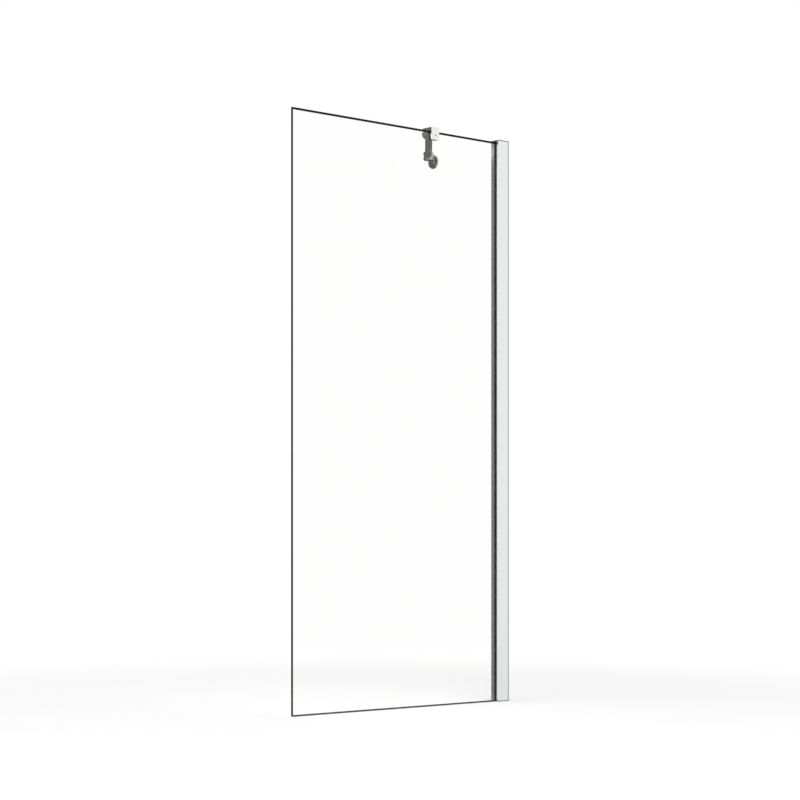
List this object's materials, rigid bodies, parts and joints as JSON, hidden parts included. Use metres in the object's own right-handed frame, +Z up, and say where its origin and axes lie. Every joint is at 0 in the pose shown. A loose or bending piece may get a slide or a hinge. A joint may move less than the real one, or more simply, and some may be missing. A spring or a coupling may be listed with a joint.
{
  "type": "bath screen",
  "caption": "Fixed clear glass bath screen in a slim wall profile, steadied by a swivelling tube brace from a clamp on its top edge to the wall.",
  "frame": {"origin": "foot of the wall post's wall face, on the pane's middle plane", "axes": "+X into the wall, so the pane runs towards -X; +Y into the bath; +Z up"},
  "size_m": [0.69, 0.2978, 1.408],
  "materials": {
    "anodised_bright": "bright anodised",
    "anodised_inner": "satin grey anodised",
    "cap_grey": "smooth",
    "clear_glass": "clear, polished edges",
    "seal_dark": "soft",
    "gasket_black": "soft",
    "block_white": "matt",
    "steel_plain": "plain",
    "chrome_plate": "polished",
    "liner_dark": "soft",
    "washer_white": "matt"
  },
  "bodies": {
    "wall_side": {"wall_post": "anodised_inner"},
    "screen_side": {"glass_profile": "anodised_bright", "top_end_cap": "cap_grey", "bottom_end_cap": "cap_grey", "glass_panel": "clear_glass", "bottom_seal": "seal_dark", "gasket_outer": "gasket_black", "gasket_inner": "gasket_black", "setting_blocks": "block_white", "width_screws": "steel_plain", "width_nuts": "steel_plain", "screw_caps": "cap_grey"},
    "clamp_unit": {"clamp_body": "chrome_plate", "clamp_liner": "liner_dark", "clamp_pressure_plate": "steel_plain", "clamp_grub_screw": "steel_plain", "clamp_pivot_screw": "chrome_plate", "clamp_washers": "washer_white"},
    "brace_unit": {"clamp_end_fitting": "chrome_plate", "support_bar": "chrome_plate", "wall_end_head": "chrome_plate", "bar_grub_screws": "steel_plain", "wall_pivot_screw": "chrome_plate", "wall_washers": "washer_white"},
    "wall_foot": {"wall_bracket": "chrome_plate", "rosette": "chrome_plate"}
  },
  "joints": [
    {"name": "width_slide", "type": "slide", "parent": "wall_side", "child": "screen_side", "axis": [-1, 0, 0], "range_m": [-0.0015, 0.008]},
    {"name": "clamp_slide", "type": "slide", "parent": "screen_side", "child": "clamp_unit", "axis": [1, 0, 0], "range_m": [-0.1, 0.18]},
    {"name": "clamp_swivel", "type": "hinge", "parent": "clamp_unit", "child": "brace_unit", "pos_m": [-0.249, 0.0176, 1.3975], "axis": [0, 0, 1], "range_deg": [-30, 40]},
    {"name": "foot_swivel", "type": "hinge", "parent": "brace_unit", "child": "wall_foot", "pos_m": [-0.019, 0.268, 1.3975], "axis": [0, 0, 1], "range_deg": [-40, 40]}
  ]
}
